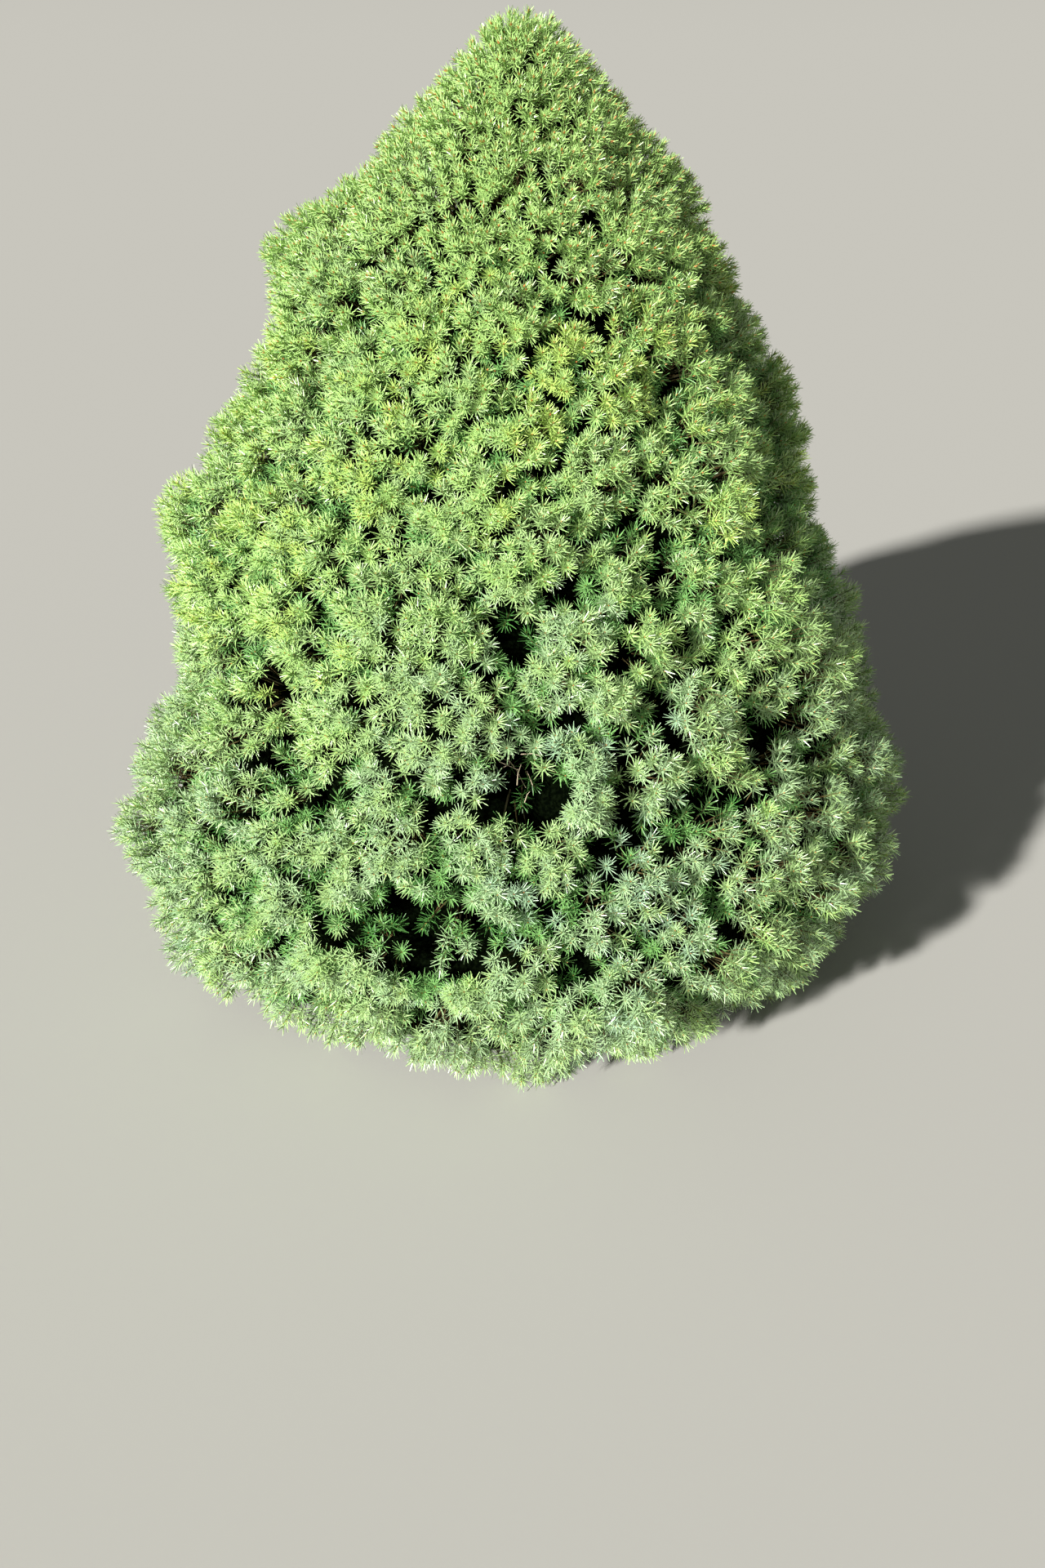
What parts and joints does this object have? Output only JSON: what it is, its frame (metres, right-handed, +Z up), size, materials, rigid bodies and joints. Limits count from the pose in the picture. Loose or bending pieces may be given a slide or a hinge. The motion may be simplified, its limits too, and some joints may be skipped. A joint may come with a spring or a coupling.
{
  "type": "dwarf alberta spruce",
  "caption": "Rooted dwarf conifer: a tapering trunk with boughs carries dense masses of short radial needles in a broad, lumpy cone that reaches the ground.",
  "frame": {"origin": "centre of the flat cut under the trunk, at ground level", "axes": "+Z up along the trunk, -Y towards the side that faces the viewer of the picture, +X to that viewer's right"},
  "size_m": [1.5203, 1.484, 1.56],
  "materials": {
    "bark": "rough, scaly grey-brown bark",
    "bough_bark": "thin ridged brown bark with old needle pegs",
    "needles_lower": "satin needles, mid green to slightly blue green",
    "needles_upper": "satin needles, bright yellow green"
  },
  "bodies": {
    "root": {"trunk": "bark", "bough_skirt_1": "bough_bark", "bough_skirt_2": "bough_bark", "bough_skirt_3": "bough_bark", "bough_skirt_4": "bough_bark", "bough_skirt_5": "bough_bark", "bough_skirt_6": "bough_bark", "bough_skirt_7": "bough_bark", "bough_skirt_8": "bough_bark", "bough_low_1": "bough_bark", "bough_low_2": "bough_bark", "bough_low_3": "bough_bark", "bough_low_4": "bough_bark", "bough_low_5": "bough_bark", "bough_low_6": "bough_bark", "bough_low_7": "bough_bark", "bough_low_8": "bough_bark", "foliage_skirt_1": "needles_lower", "foliage_skirt_2": "needles_lower", "foliage_skirt_3": "needles_lower", "foliage_skirt_4": "needles_lower", "foliage_skirt_5": "needles_lower", "foliage_skirt_6": "needles_lower", "foliage_skirt_7": "needles_lower", "foliage_skirt_8": "needles_lower", "foliage_low_1": "needles_lower", "foliage_low_2": "needles_lower", "foliage_low_3": "needles_lower", "foliage_low_4": "needles_lower", "foliage_low_5": "needles_lower", "foliage_low_6": "needles_lower", "foliage_low_7": "needles_lower", "foliage_low_8": "needles_lower", "foliage_waist_1": "needles_lower", "foliage_waist_2": "needles_lower", "foliage_waist_3": "needles_lower", "foliage_waist_4": "needles_lower", "foliage_waist_5": "needles_lower", "foliage_waist_6": "needles_lower", "foliage_waist_7": "needles_lower", "foliage_middle_1": "needles_upper", "foliage_middle_2": "needles_upper", "foliage_middle_3": "needles_upper", "foliage_middle_4": "needles_upper", "foliage_middle_5": "needles_upper", "foliage_middle_6": "needles_upper", "foliage_upper_1": "needles_upper", "foliage_upper_2": "needles_upper", "foliage_upper_3": "needles_upper", "foliage_upper_4": "needles_upper", "foliage_upper_5": "needles_upper", "foliage_shoulder_1": "needles_upper", "foliage_shoulder_2": "needles_upper", "foliage_shoulder_3": "needles_upper", "foliage_shoulder_4": "needles_upper", "foliage_top": "needles_upper"}
  },
  "joints": []
}
